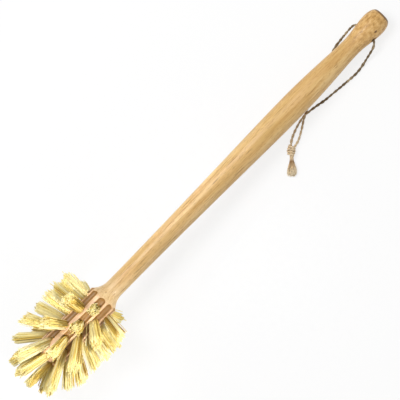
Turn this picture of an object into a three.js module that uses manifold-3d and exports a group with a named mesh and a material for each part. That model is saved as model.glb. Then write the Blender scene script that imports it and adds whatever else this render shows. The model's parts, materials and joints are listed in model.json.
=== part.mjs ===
// A round-headed cleaning brush: a turned wooden handle, a fluted core set with fanned tufts of plant fibre, and a
// hanging loop of twine. It lies on a table on its knob and its lower tufts, head towards -X, butt towards +X, +Z up.

import * as THREE from "three";
import { mergeVertices } from "three/addons/utils/BufferGeometryUtils.js";
import Module from "manifold-3d";

// Driving dimensions, in millimetres and degrees

// Handle, turned from one blank: runs are measured along its axis, one after the other, from the collar to the butt
const COLLAR_DIAMETER = 25;
const COLLAR_RUN = 2;
const FLARE_RUN = 12;
const SHAFT_DIAMETER = 14.6;
const SHAFT_RUN = 190;
const GRIP_DIAMETER = 19.9;
const GRIP_RUN = 65;
const NECK_DIAMETER = 14.8;
const NECK_RUN = 24;
const KNOB_DIAMETER = 19.4;
const KNOB_RUN = 9.4;
const BUTT_DIAMETER = 11;
const CORD_HOLE_DIAMETER = 4.4;
const CORD_HOLE_FROM_BUTT = 18.2;

// Fluted core of the head: one row of tufts in each flute. Rows are counted round the core, from the first one by the
// head's turn towards the right, and the core is sliced lengthwise along ridges, a few rows to a slice.
const SLICE_ROWS = { top: [8, 9, 10], right: [1, 2], bottom: [3, 4, 5], left: [6, 7] };
const HEAD_TURN = 16;
const CORE_LENGTH = 62;
const DOME_RUN = 8;
const FLUTE_DIAMETER = 6;
const FLUTE_DEPTH = 2.6;
const FLUTE_NOSE = 1;
const SPIGOT_DIAMETER = 7;
const COLLAR_LIP = 2;

// Tufts: each ring of tufts fills every second flute, turned by one flute from ring to ring, and the last ring stands
// in the dome. Each ring leans further towards the tip. The ends are trimmed to a round-nosed cylinder.
const RINGS = 8;
const FIRST_RING = 6;
const TIP_RING_DIAMETER = 15;
const FIRST_LEAN = -5;
const LEAN_STEP = 5;
const LEAN_GROWTH = 1;
const HEAD_DIAMETER = 67;
const TIP_TUFT_REACH = 21.5;
const TUFT_FLARE = 2.4;
const TUFT_HOLE_DIAMETER = 4.2;
const TUFT_HOLE_DEPTH = 2.4;
const STRAND_ROOT_RADIUS = 0.27;
const STRAND_TIP_RADIUS = 0.85;
const STRAND_PITCH = 0.7;
const STRAND_FILES = [3, 2];

// Flat wire staple at the bottom of each tuft hole, which the tuft is folded over
const STAPLE_WIDTH = 1.4;
const STAPLE_THICKNESS = 0.4;

// Hanging cord
const CORD_DIAMETER = 2;
const KNOT_RADIUS = 2;
const KNOT_LENGTHENING = 1.25;
const KNOT_CORD_RADIUS = 0.75;
const TAIL_LENGTH = 12.7;
const TAIL_END_DIAMETER = 4.2;

// Fits
const CLEARANCE = 0.3;
const PRESSED_FLAT = 0.5;

// Facets
const TURNED_SIDES = 24;
const FLUTE_SIDES = 16;
const HOLE_SIDES = 8;
const CORD_STEPS = 38;

const AXIS = new THREE.Vector3(1, 0, 0);
const FLUTES = Object.values(SLICE_ROWS).flat().length;
const WOOD = { color: 0xdcb478, roughness: 0.55, metalness: 0 };
const FIBRE = { color: 0xead08a, roughness: 0.7, metalness: 0 };
const STEEL = { color: 0xb7babd, roughness: 0.4, metalness: 0.9 };
const TWINE = { color: 0xa88a60, roughness: 0.9, metalness: 0 };

// Solids that can be joined and cut

const wasm = await Module();
wasm.setup();

function solid(geometry) {
  const bare = geometry.index ? geometry.toNonIndexed() : geometry.clone();
  bare.deleteAttribute("normal");
  bare.deleteAttribute("uv");
  const merged = mergeVertices(bare, 1e-4);
  const triangles = [];
  for (let i = 0; i < merged.index.count; i += 3) {
    const [a, b, c] = merged.index.array.slice(i, i + 3);
    if (a !== b && b !== c && c !== a) triangles.push(a, b, c);
  }
  const mesh = new wasm.Mesh({
    numProp: 3,
    vertProperties: merged.attributes.position.array,
    triVerts: Uint32Array.from(triangles),
  });
  return new wasm.Manifold(mesh);
}

function geometryOf(made) {
  const mesh = made.getMesh();
  const geometry = new THREE.BufferGeometry();
  geometry.setAttribute("position", new THREE.BufferAttribute(mesh.vertProperties, 3));
  geometry.setIndex(new THREE.BufferAttribute(mesh.triVerts, 1));
  geometry.computeVertexNormals();
  return geometry;
}

function placed(made, matrix) {
  return solid(geometryOf(made).applyMatrix4(matrix));
}

function named(name, geometry, finish) {
  const mesh = new THREE.Mesh(geometry, new THREE.MeshStandardMaterial(finish));
  mesh.name = name;
  return mesh;
}

// A round bar along the brush's axis, from one station to another
function bar(from, to, diameter) {
  const geometry = new THREE.CylinderGeometry(diameter / 2, diameter / 2, to - from, TURNED_SIDES);
  return geometry.rotateZ(-Math.PI / 2).translate((from + to) / 2, 0, 0);
}

// Turned outline, from the tip of the core to the butt: axial stations with their radii

const STATIONS = {};
STATIONS.tip = -CORE_LENGTH;
STATIONS.shoulder = STATIONS.tip + DOME_RUN;
STATIONS.collar = COLLAR_RUN;
STATIONS.shaft = STATIONS.collar + FLARE_RUN;
STATIONS.grip = STATIONS.shaft + SHAFT_RUN;
STATIONS.neck = STATIONS.grip + GRIP_RUN;
STATIONS.knob = STATIONS.neck + NECK_RUN;
STATIONS.butt = STATIONS.knob + KNOB_RUN;
STATIONS.cordHole = STATIONS.butt - CORD_HOLE_FROM_BUTT;

// A smooth stretch of the outline: each end leaves or arrives along the axis for its share of the run
function stretch(from, fromDiameter, to, toDiameter, leave, arrive, steps) {
  const run = to - from;
  const curve = new THREE.CubicBezierCurve(
    new THREE.Vector2(fromDiameter / 2, from),
    new THREE.Vector2(fromDiameter / 2, from + leave * run),
    new THREE.Vector2(toDiameter / 2, to - arrive * run),
    new THREE.Vector2(toDiameter / 2, to),
  );
  return curve.getPoints(steps).slice(1);
}

// Where the rounded end of the core has a given radius
function domeStation(radius) {
  const share = radius / (COLLAR_DIAMETER / 2);
  return STATIONS.shoulder - DOME_RUN * Math.sqrt(1 - share * share);
}

function turnedBlank() {
  const { tip, shoulder, collar, shaft, grip, neck, knob, butt } = STATIONS;
  const collarRadius = COLLAR_DIAMETER / 2;
  const shaftRadius = SHAFT_DIAMETER / 2;
  const dome = new THREE.EllipseCurve(0, shoulder, collarRadius, DOME_RUN, -Math.PI / 2, 0);
  const flare = new THREE.CubicBezierCurve(
    new THREE.Vector2(collarRadius, collar),
    new THREE.Vector2((collarRadius + shaftRadius) / 2, collar + 0.2 * FLARE_RUN),
    new THREE.Vector2(shaftRadius, shaft - 0.45 * FLARE_RUN),
    new THREE.Vector2(shaftRadius, shaft),
  );
  const buttRound = new THREE.CubicBezierCurve(
    new THREE.Vector2(KNOB_DIAMETER / 2, knob),
    new THREE.Vector2(KNOB_DIAMETER / 2, knob + 0.55 * KNOB_RUN),
    new THREE.Vector2((KNOB_DIAMETER + BUTT_DIAMETER) / 4, butt),
    new THREE.Vector2(BUTT_DIAMETER / 2, butt),
  );
  const outline = [
    new THREE.Vector2(0, tip),
    ...dome.getPoints(6).slice(1),
    ...flare.getPoints(7),
    ...stretch(shaft, SHAFT_DIAMETER, grip, GRIP_DIAMETER, 0.45, 0.2, 10),
    ...stretch(grip, GRIP_DIAMETER, neck, NECK_DIAMETER, 0.5, 0.2, 8),
    ...stretch(neck, NECK_DIAMETER, knob, KNOB_DIAMETER, 0.35, 0.35, 6),
    ...buttRound.getPoints(6).slice(1),
    new THREE.Vector2(0, butt),
  ];
  return solid(new THREE.LatheGeometry(outline, TURNED_SIDES).rotateZ(-Math.PI / 2));
}

// One flute: a round-nosed cutter that starts in the collar and runs out past the tip
function fluteCutter(turn) {
  const reach = CORE_LENGTH + FLUTE_DIAMETER + FLUTE_NOSE;
  const cutter = new THREE.CapsuleGeometry(FLUTE_DIAMETER / 2, reach, 6, FLUTE_SIDES);
  cutter.rotateZ(-Math.PI / 2);
  const centre = COLLAR_DIAMETER / 2 - FLUTE_DEPTH + FLUTE_DIAMETER / 2;
  cutter.translate(FLUTE_NOSE - reach / 2, 0, centre);
  return solid(cutter.rotateX(turn));
}

// How far a row of tufts, or a ridge half a row further, is turned from straight up towards the right
function rowTurn(row) {
  return THREE.MathUtils.degToRad(HEAD_TURN) + (row * 2 * Math.PI) / FLUTES;
}

function flutedWood() {
  const cutters = [];
  for (let row = 0; row < FLUTES; row++) cutters.push(fluteCutter(rowTurn(row)));
  return turnedBlank().subtract(wasm.Manifold.union(cutters));
}

const FLUTE_FLOOR = COLLAR_DIAMETER / 2 - FLUTE_DEPTH;
const HEAD_FACE = -COLLAR_LIP;

function handleSolid(wood) {
  const { shoulder, butt, cordHole } = STATIONS;
  const behindFace = solid(bar(HEAD_FACE, butt + CLEARANCE, 2 * COLLAR_DIAMETER));
  const spigot = solid(bar(shoulder, 0, SPIGOT_DIAMETER));
  const hole = new THREE.CylinderGeometry(
    CORD_HOLE_DIAMETER / 2,
    CORD_HOLE_DIAMETER / 2,
    2 * KNOB_DIAMETER,
    FLUTE_SIDES,
  ).translate(cordHole, 0, 0);
  return wood.intersect(behindFace).add(spigot).subtract(solid(hole));
}

// Tufts: where each stands, which way it points, which way its staple lies and how long it is

// From a root on the core, at a station and a radius, to the trimmed outline of the head
function tuftLength(station, radius, lean) {
  const round = HEAD_DIAMETER / 2;
  const centre = round - TIP_TUFT_REACH - CORE_LENGTH;
  const straight = (round - radius) / Math.cos(lean);
  if (station - straight * Math.sin(lean) >= centre) return straight;
  const offset = station - centre;
  const along = offset * Math.sin(lean) - radius * Math.cos(lean);
  return along + Math.sqrt(along * along + round * round - radius * radius - offset * offset);
}

function tuftsOfRow(row) {
  const tufts = [];
  const pitch = (CORE_LENGTH - DOME_RUN - FIRST_RING) / (RINGS - 2);
  const turn = rowTurn(row);
  for (let ring = row % 2; ring < RINGS; ring += 2) {
    const inDome = ring === RINGS - 1;
    const lean = THREE.MathUtils.degToRad(FIRST_LEAN + ring * LEAN_STEP + ring * ring * LEAN_GROWTH);
    const radius = inDome ? TIP_RING_DIAMETER / 2 : FLUTE_FLOOR;
    const station = inDome ? domeStation(radius) : -FIRST_RING - ring * pitch;
    const outward = new THREE.Vector3(0, -Math.sin(turn), Math.cos(turn));
    const along = new THREE.Vector3(0, -Math.cos(turn), -Math.sin(turn));
    const root = outward.clone().multiplyScalar(radius).setX(station);
    const direction = outward.multiplyScalar(Math.cos(lean)).addScaledVector(AXIS, -Math.sin(lean));
    const across = new THREE.Vector3().crossVectors(direction, along);
    const frame = new THREE.Matrix4().makeBasis(across, direction, along).setPosition(root);
    tufts.push({ frame, length: tuftLength(station, radius, lean) });
  }
  return tufts;
}

// The drilled hole of a tuft, in the tuft's own frame: flute floor at y = 0, the tuft pointing along +Y
function tuftHole() {
  const mouth = 2 * TUFT_HOLE_DIAMETER;
  const section = new THREE.Shape().absarc(0, 0, TUFT_HOLE_DIAMETER / 2, 0, 2 * Math.PI);
  const options = { depth: TUFT_HOLE_DEPTH + mouth, curveSegments: HOLE_SIDES / 2, bevelEnabled: false };
  const hole = new THREE.ExtrudeGeometry(section, options).rotateX(-Math.PI / 2);
  return solid(hole.translate(0, -TUFT_HOLE_DEPTH, 0));
}

// One strand: three sides, rooted in the hole's floor, thicker and further from its neighbours at its end
function strand(across, along, length) {
  const ends = [
    { height: -TUFT_HOLE_DEPTH - CLEARANCE, radius: STRAND_ROOT_RADIUS, spread: 1 },
    { height: length, radius: STRAND_TIP_RADIUS, spread: TUFT_FLARE },
  ];
  const corners = [];
  for (const { height, radius, spread } of ends) {
    for (let k = 0; k < 3; k++) {
      const turn = (k * 2 * Math.PI) / 3;
      corners.push(across * spread + radius * Math.cos(turn), height, along * spread + radius * Math.sin(turn));
    }
  }
  const geometry = new THREE.BufferGeometry();
  geometry.setAttribute("position", new THREE.Float32BufferAttribute(corners, 3));
  geometry.setIndex([0, 1, 2, 3, 5, 4, 1, 0, 3, 1, 3, 4, 2, 1, 4, 2, 4, 5, 0, 2, 5, 0, 5, 3]);
  return geometry;
}

// Strands stand in files on both sides of the staple: their places across it and along it
function strandPlaces() {
  const places = [];
  const nearest = STAPLE_THICKNESS / 2 + CLEARANCE + STRAND_ROOT_RADIUS;
  for (const side of [-1, 1]) {
    STRAND_FILES.forEach((count, file) => {
      for (let i = 0; i < count; i++) {
        const across = side * (nearest + file * 2 * STRAND_ROOT_RADIUS);
        places.push([across, (i - (count - 1) / 2) * STRAND_PITCH]);
      }
    });
  }
  return places;
}

// A slice of the core lengthwise, seamed along two ridges, with the tufts of its rows
function tuftedSlice(wood, rows, tufts) {
  const half = (rows.length * Math.PI) / FLUTES;
  const reach = COLLAR_DIAMETER;
  const apex = CLEARANCE / 2 / Math.sin(half);
  const wedgeShape = new THREE.Shape([
    new THREE.Vector2(0, apex),
    new THREE.Vector2(reach * Math.sin(half), apex + reach * Math.cos(half)),
    new THREE.Vector2(-reach * Math.sin(half), apex + reach * Math.cos(half)),
  ]);
  const length = CORE_LENGTH - COLLAR_LIP;
  const wedge = new THREE.ExtrudeGeometry(wedgeShape, { depth: length, bevelEnabled: false });
  const upright = new THREE.Matrix4().makeBasis(
    new THREE.Vector3(0, 1, 0),
    new THREE.Vector3(0, 0, 1),
    AXIS,
  );
  wedge.applyMatrix4(upright).rotateX(rowTurn((rows[0] + rows.at(-1)) / 2));
  wedge.translate(HEAD_FACE - CLEARANCE - length, 0, 0);
  const bore = solid(bar(STATIONS.shoulder - CLEARANCE, 0, SPIGOT_DIAMETER + 2 * CLEARANCE));
  let slice = wood.intersect(solid(wedge)).subtract(bore);
  const hole = tuftHole();
  for (const { frame, length: reachOut } of tufts) {
    const facing = placed(slice, frame.clone().invert()).subtract(hole);
    const strands = strandPlaces().map(([across, along]) => solid(strand(across, along, reachOut)));
    slice = placed(wasm.Manifold.union([facing, ...strands]), frame);
  }
  return slice;
}

function staple(name, frame) {
  const length = TUFT_HOLE_DIAMETER * Math.cos(Math.PI / HOLE_SIDES) - 2 * CLEARANCE;
  const geometry = new THREE.BoxGeometry(STAPLE_THICKNESS, STAPLE_WIDTH, length);
  geometry.translate(0, CLEARANCE + STAPLE_WIDTH / 2 - TUFT_HOLE_DEPTH, 0);
  const mesh = named(name, geometry, STEEL);
  mesh.applyMatrix4(frame);
  return mesh;
}

// How the brush lies: on its knob and on the lowest strand ends, pressed a little flat
function lyingAngle(tufts) {
  let angle = 0;
  for (const { frame, length } of tufts) {
    for (const [across, along] of strandPlaces()) {
      const end = new THREE.Vector3(across * TUFT_FLARE, length, along * TUFT_FLARE).applyMatrix4(frame);
      const drop = -end.z - PRESSED_FLAT;
      const span = STATIONS.knob - end.x;
      const tilt = Math.atan2(drop, span) - Math.asin(KNOB_DIAMETER / 2 / Math.hypot(drop, span));
      angle = Math.max(angle, tilt);
    }
  }
  return angle;
}

// The brush, built along its own axis and then laid down

const wood = flutedWood();
const slices = Object.entries(SLICE_ROWS).map(([side, rows]) => ({ side, rows, tufts: rows.flatMap(tuftsOfRow) }));

const brush = new THREE.Group();
brush.rotation.y = lyingAngle(slices.flatMap((slice) => slice.tufts));
const handle = named("handle", geometryOf(handleSolid(wood)), WOOD);
brush.add(handle);
brush.updateMatrixWorld(true);
brush.position.z = -new THREE.Box3().setFromObject(handle, true).min.z;
brush.updateMatrixWorld(true);

const table = new THREE.BoxGeometry(4 * CORE_LENGTH, 4 * CORE_LENGTH, CORE_LENGTH);
table.translate(-CORE_LENGTH / 2, 0, -CORE_LENGTH / 2).applyMatrix4(brush.matrixWorld.clone().invert());
const tableSolid = solid(table);
for (const { side, rows, tufts } of slices) {
  const standing = tuftedSlice(wood, rows, tufts).subtract(tableSolid);
  brush.add(named(`bristles_${side}`, geometryOf(standing), FIBRE));
  tufts.forEach(({ frame }, i) => brush.add(staple(`staple_${side}_${i + 1}`, frame)));
}
brush.updateMatrixWorld(true);
const length = new THREE.Box3().setFromObject(brush, true);
brush.position.x = -(length.min.x + length.max.x) / 2;
brush.updateMatrixWorld(true);

// Hanging loop: the twine's two strands leave the cord hole, come down to the table and meet in the knot.
// Places are measured from the cord hole's middle, along X and Y, and up from the table.

const holeMiddle = new THREE.Vector3(STATIONS.cordHole, 0, 0).applyMatrix4(brush.matrixWorld);
const up = holeMiddle.z;
const lying = CORD_DIAMETER / 2 + 0.1;
const crossing = lying + CORD_DIAMETER + 2 * CLEARANCE;
const half = CLEARANCE / 2;

const rightStrand = [
  [0, -half, up],
  [0, -4, up],
  [0, -7.6, up],
  [-1, -10.2, up - 0.4],
  [-3.6, -11.9, up - 1.9],
  [-7, -12.5, up - 4],
  [-11, -12.9, up - 6],
  [-16, -13.5, up - 7.9],
  [-21, -14.2, lying + 0.3],
  [-27, -14.6, lying],
  [-39, -13.5, lying],
  [-48, -12.4, lying],
  [-58, -11.1, lying],
  [-65, -9.7, lying + 0.5],
  [-71, -8.9, lying + 1.6],
  [-77, -8.5, crossing],
  [-82, -8.8, lying + 1.6],
  [-87, -9.7, lying + 0.4],
  [-93, -11.7, lying],
  [-97.5, -14.1, lying + 0.5],
  [-100.7, -16.6, lying + 1.1],
];

const leftStrand = [
  [0, half, up],
  [0, 4, up],
  [0, 7.6, up],
  [-1, 9.9, up - 0.4],
  [-3.7, 11.2, up - 1.8],
  [-7, 11.6, up - 3.4],
  [-11, 11.8, up - 5],
  [-16, 11.9, up - 6.9],
  [-21, 11.8, lying + 0.8],
  [-26, 10.9, lying],
  [-35, 7.7, lying],
  [-45, 3.7, lying],
  [-55, -0.1, lying],
  [-65, -3.5, lying],
  [-73, -6.3, lying],
  [-79, -9.2, lying],
  [-85, -13, lying],
  [-90.8, -16.3, lying],
  [-95.3, -18.3, lying + 0.4],
  [-98.95, -19.2, lying + 1.1],
];

function cordStretch(name, points) {
  const path = new THREE.CatmullRomCurve3(points.map((point) => new THREE.Vector3(...point)));
  const section = new THREE.Shape().absarc(0, 0, CORD_DIAMETER / 2, 0, 2 * Math.PI);
  const options = { steps: CORD_STEPS, curveSegments: 4, extrudePath: path, bevelEnabled: false };
  return named(name, new THREE.ExtrudeGeometry(section, options), TWINE);
}

// Overhand knot, drawn tight: the twine's trefoil, longer than wide
function knotMesh(place, heading) {
  const geometry = new THREE.TorusKnotGeometry(KNOT_RADIUS, KNOT_CORD_RADIUS, 40, 6, 2, 3);
  geometry.scale(KNOT_LENGTHENING, 1, 1).rotateZ(heading);
  geometry.computeBoundingBox();
  const mesh = named("cord_knot", geometry, TWINE);
  mesh.position.set(place[0], place[1], -geometry.boundingBox.min.z + 0.1);
  return mesh;
}

// One frayed tail of the cord, spreading from the knot to its loose end
function tailMesh(name, from, heading) {
  const thin = CORD_DIAMETER / 2;
  const wide = TAIL_END_DIAMETER / 2;
  const geometry = new THREE.CylinderGeometry(wide, thin, TAIL_LENGTH, 8).translate(0, TAIL_LENGTH / 2, 0);
  geometry.rotateX(Math.atan2(wide - thin, TAIL_LENGTH)).rotateZ(heading - Math.PI / 2);
  geometry.computeBoundingBox();
  const mesh = named(name, geometry, TWINE);
  mesh.position.set(from[0], from[1], -geometry.boundingBox.min.z + 0.1);
  return mesh;
}

const loop = new THREE.Group();
loop.position.set(holeMiddle.x, 0, 0);
loop.add(cordStretch("cord_right", rightStrand));
loop.add(cordStretch("cord_left", leftStrand));
loop.add(knotMesh([-103.3, -19.8], THREE.MathUtils.degToRad(225)));
loop.add(tailMesh("cord_tail_outer", [-105.65, -23.85], THREE.MathUtils.degToRad(234)));
loop.add(tailMesh("cord_tail_inner", [-107.35, -22.15], THREE.MathUtils.degToRad(216)));

const part = new THREE.Group();
part.add(brush, loop);

export default part;
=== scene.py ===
# %% [markdown]
# # A turned wooden brush with fanned tufts
#
# The brush lies on a table. It has a long turned handle, a fluted core set with rows of plant-fibre tufts
# that fan out round the tip, and a loop of hairy twine through the knob. The CAD frame already holds every
# size and place, so this lesson starts by loading it.

# %% Load the frame
import json
import math

import bpy
import numpy as np
from mathutils import Matrix, Vector


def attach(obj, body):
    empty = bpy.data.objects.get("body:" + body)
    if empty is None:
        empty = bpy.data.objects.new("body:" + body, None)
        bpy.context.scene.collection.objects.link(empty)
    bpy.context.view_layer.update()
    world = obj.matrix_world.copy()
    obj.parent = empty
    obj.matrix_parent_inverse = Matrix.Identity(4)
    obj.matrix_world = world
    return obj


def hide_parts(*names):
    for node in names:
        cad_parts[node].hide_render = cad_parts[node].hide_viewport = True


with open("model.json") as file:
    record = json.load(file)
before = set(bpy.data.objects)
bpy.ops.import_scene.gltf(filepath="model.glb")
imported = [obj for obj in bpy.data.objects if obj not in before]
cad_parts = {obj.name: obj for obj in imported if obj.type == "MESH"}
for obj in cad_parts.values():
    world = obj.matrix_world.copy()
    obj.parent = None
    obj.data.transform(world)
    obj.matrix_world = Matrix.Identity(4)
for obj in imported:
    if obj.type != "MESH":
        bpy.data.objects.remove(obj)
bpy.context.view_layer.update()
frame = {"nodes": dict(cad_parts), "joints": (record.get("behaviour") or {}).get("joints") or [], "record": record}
MM = 0.001

# %% [markdown]
# ## The brush's own axes
#
# The handle doesn't lie level: it rests on its knob and on the lowest tufts. Every turned or drilled feature
# is easier to write along the handle's own axis, so a matrix carries points from there to the table. The axis
# comes from the butt's mount and the middle of the cord hole from the hinge, so nothing is fitted by eye.
# Stations run along the axis from 0 at the collar's edge, towards the tip as negative numbers and towards the
# butt as positive ones.

# %% The brush's own axes
CORD_HOLE_STATION = 284.2 * MM
AXIS = Vector(frame["record"]["mounts"][0]["axis"]).normalized()
LEFT = Vector((0, 1, 0))
UP = AXIS.cross(LEFT)
HOLE = Vector(frame["joints"][0]["pos_m"])
along_axis = Matrix((AXIS, LEFT, UP)).transposed().to_4x4()
BRUSH = Matrix.Translation(HOLE - CORD_HOLE_STATION * AXIS) @ along_axis
print("handle slopes down by", round(math.degrees(math.asin(-AXIS.z)), 2), "degrees")

# %% [markdown]
# ## Camera
#
# The photograph looks down on the brush, with the handle running from lower left to upper right. The camera
# is placed in the brush's own terms: so far round the axis, so far away, and turned until the handle has the
# right slant. A long distance and a narrow angle keep the brush as flat in the picture as a studio lens does.

# %% Camera
VIEW_ROUND = math.radians(15)
VIEW_SLANT = math.radians(45.56)
VIEW_DISTANCE = 1.3
VIEW_WIDTH = 302 * MM
VIEW_STATION = 106.5 * MM
VIEW_ASIDE = 0.45 * MM

towards = math.cos(VIEW_ROUND) * UP - math.sin(VIEW_ROUND) * LEFT
across = towards.cross(AXIS)
right = math.cos(VIEW_SLANT) * AXIS - math.sin(VIEW_SLANT) * across
upwards = math.sin(VIEW_SLANT) * AXIS + math.cos(VIEW_SLANT) * across
VIEW_TARGET = BRUSH @ Vector((VIEW_STATION, 0, 0)) + VIEW_ASIDE * across

camera = bpy.data.objects.new("camera", bpy.data.cameras.new("camera"))
camera.data.angle = 2 * math.atan(VIEW_WIDTH / 2 / VIEW_DISTANCE)
camera.matrix_world = Matrix((right, upwards, towards)).transposed().to_4x4()
camera.location = VIEW_TARGET + VIEW_DISTANCE * towards
bpy.context.scene.collection.objects.link(camera)
bpy.context.scene.camera = camera
print("camera at", [round(x, 3) for x in camera.location], "m")

# %% [markdown]
# ## Threads
#
# Twine, hairs and bristles are all thin round threads, nearly twelve thousand of them. One modifier or curve
# object for each would be slow, so they are swept together with numpy: a ring of corners is carried along
# each line without twisting and joined to the next ring. Each corner also keeps two numbers, the thread's own
# tone and how far along the thread it lies. The materials read these as attributes, so no two threads need
# the same colour.

# %% Sweep threads into one mesh
THREAD_NUMBERS = ("tone", "reach")
NEARLY_UPRIGHT = 0.8


class Bundle:
    """Collects round threads and turns them into one mesh object."""

    def __init__(self):
        self.corners, self.faces, self.tones, self.reaches = [], [], [], []
        self.count = 0

    def add(self, lines, radii, sides, tones, reaches):
        """lines: threads x stations x 3; radii and reaches: threads x stations; tones: threads."""
        lines = np.asarray(lines, float)
        threads, stations, _ = lines.shape
        tangents = np.gradient(lines, axis=1)
        tangents /= np.linalg.norm(tangents, axis=2, keepdims=True)
        level = np.abs(tangents[:, :1, 2:]) < NEARLY_UPRIGHT
        normal = np.where(level, [[[0.0, 0.0, 1.0]]], [[[1.0, 0.0, 0.0]]])[:, 0]
        normals = np.empty_like(lines)
        for k in range(stations):
            tangent = tangents[:, k]
            normal = normal - tangent * np.sum(normal * tangent, axis=1, keepdims=True)
            normal /= np.linalg.norm(normal, axis=1, keepdims=True)
            normals[:, k] = normal
        binormals = np.cross(tangents, normals)
        turn = 2 * np.pi * np.arange(sides) / sides
        ring = normals[:, :, None] * np.cos(turn)[:, None] + binormals[:, :, None] * np.sin(turn)[:, None]
        sizes = np.broadcast_to(radii, (threads, stations))[:, :, None, None]
        self.corners.append((lines[:, :, None] + sizes * ring).reshape(-1, 3))
        place = self.count + np.arange(threads * stations * sides).reshape(threads, stations, sides)
        here, there = place[:, :-1], place[:, 1:]
        walls = np.stack([here, np.roll(here, -1, 2), np.roll(there, -1, 2), there], axis=3)
        self.faces += walls.reshape(-1, 4).tolist()
        self.faces += place[:, 0, ::-1].tolist() + place[:, -1].tolist()
        self.tones.append(np.repeat(tones, stations * sides))
        self.reaches.append(np.repeat(np.broadcast_to(reaches, (threads, stations)).reshape(-1), sides))
        self.count += place.size

    def build(self, name):
        mesh = bpy.data.meshes.new(name)
        mesh.from_pydata(np.concatenate(self.corners).tolist(), [], self.faces)
        for label, values in zip(THREAD_NUMBERS, (self.tones, self.reaches)):
            attribute = mesh.attributes.new(label, "FLOAT", "POINT")
            attribute.data.foreach_set("value", np.concatenate(values).astype(np.float32))
        mesh.shade_smooth()
        piece = bpy.data.objects.new(name, mesh)
        bpy.context.scene.collection.objects.link(piece)
        print(name, "has", len(mesh.polygons), "faces")
        return piece


print("numbers kept at each corner of a thread:", THREAD_NUMBERS)

# %% [markdown]
# ## Points of the hanging loop
#
# The twine goes through the cross hole of the knob, comes down on both sides of the handle and lies loosely
# on the table, one strand passing under the handle and over its partner before both meet in the knot. Its
# points are the same as in the CAD model, so the dressed twine lies where the CAD twine lies. They are in
# millimetres, from the middle of the hole and up from the table.

# %% Points of the two strands
HOLE_UP = HOLE.z / MM
LYING = 1.1
CROSSING = 3.7

right_points = [
    (0, -0.15, HOLE_UP), (0, -4, HOLE_UP), (0, -7.6, HOLE_UP), (-1, -10.2, HOLE_UP - 0.4),
    (-3.6, -11.9, HOLE_UP - 1.9), (-7, -12.5, HOLE_UP - 4), (-11, -12.9, HOLE_UP - 6),
    (-16, -13.5, HOLE_UP - 7.9), (-21, -14.2, LYING + 0.3), (-27, -14.6, LYING), (-39, -13.5, LYING),
    (-48, -12.4, LYING), (-58, -11.1, LYING), (-65, -9.7, LYING + 0.5), (-71, -8.9, LYING + 1.6),
    (-77, -8.5, CROSSING), (-82, -8.8, LYING + 1.6), (-87, -9.7, LYING + 0.4), (-93, -11.7, LYING),
    (-97.5, -14.1, LYING + 0.5), (-100.7, -16.6, LYING + 1.1),
]
left_points = [
    (0, 0.15, HOLE_UP), (0, 4, HOLE_UP), (0, 7.6, HOLE_UP), (-1, 9.9, HOLE_UP - 0.4),
    (-3.7, 11.2, HOLE_UP - 1.8), (-7, 11.6, HOLE_UP - 3.4), (-11, 11.8, HOLE_UP - 5),
    (-16, 11.9, HOLE_UP - 6.9), (-21, 11.8, LYING + 0.8), (-26, 10.9, LYING), (-35, 7.7, LYING),
    (-45, 3.7, LYING), (-55, -0.1, LYING), (-65, -3.5, LYING), (-73, -6.3, LYING), (-79, -9.2, LYING),
    (-85, -13, LYING), (-90.8, -16.3, LYING), (-95.3, -18.3, LYING + 0.4), (-98.95, -19.2, LYING + 1.1),
]


def from_hole(points):
    """Points measured in mm from the cord hole's middle and up from the table, in metres."""
    return np.array(points, float) * MM + [HOLE.x, 0, 0]


print("points of the right and left strand:", len(right_points), len(left_points))

# %% [markdown]
# ## Smooth routes
#
# Twine bends evenly. A Bezier curve would need handles at every point, so the points are joined with a
# centripetal Catmull-Rom curve, which goes through every point without overshooting. The curve is then cut
# into even steps, so that what is wound round it later gets an even pitch.

# %% Join the points smoothly
TWINE_STEP = 0.4 * MM
POINTS_PER_SPAN = 24
FEWEST_POINTS = 4


def distance_along(line):
    """How far along the line each of its points lies."""
    return np.concatenate([[0], np.cumsum(np.linalg.norm(np.diff(line, axis=0), axis=1))])


def smooth_route(points, step):
    """A centripetal Catmull-Rom curve through the points, with an even step."""
    ends = np.vstack([2 * points[0] - points[1], points, 2 * points[-1] - points[-2]])
    spans = np.sqrt(np.linalg.norm(np.diff(ends, axis=0), axis=1))[:, None]
    share = np.linspace(0, 1, POINTS_PER_SPAN, endpoint=False)[:, None]
    fine = []
    for k in range(1, len(ends) - 2):
        slopes = []
        for j in (k, k + 1):
            before, after = spans[j - 1], spans[j]
            slope = (ends[j] - ends[j - 1]) / before + (ends[j + 1] - ends[j]) / after
            slopes.append((slope - (ends[j + 1] - ends[j - 1]) / (before + after)) * spans[k])
        fine.append(
            (2 * share**3 - 3 * share**2 + 1) * ends[k]
            + (share**3 - 2 * share**2 + share) * slopes[0]
            + (3 * share**2 - 2 * share**3) * ends[k + 1]
            + (share**3 - share**2) * slopes[1]
        )
    fine = np.vstack([*fine, points[-1:]])
    run = distance_along(fine)
    even = np.linspace(0, run[-1], max(FEWEST_POINTS, round(run[-1] / step)))
    return np.column_stack([np.interp(even, run, fine[:, i]) for i in range(3)])


right_route = smooth_route(from_hole(right_points), TWINE_STEP)
left_route = smooth_route(from_hole(left_points), TWINE_STEP)
print("strands in mm:", [round(distance_along(route)[-1] / MM, 1) for route in (right_route, left_route)])

# %% [markdown]
# ## Two plies
#
# Jute twine is two plies laid round each other, and each ply is a loose roll of coarse fibres, so it is thick
# and thin by turns. The lay could be a bump in the material, but it shows against the white table, so the two
# plies are real: two helices round the route. Three smooth wandering lines make the twist, the twine and each
# ply uneven, and a slub is a short thick place that the spinner left.

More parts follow.
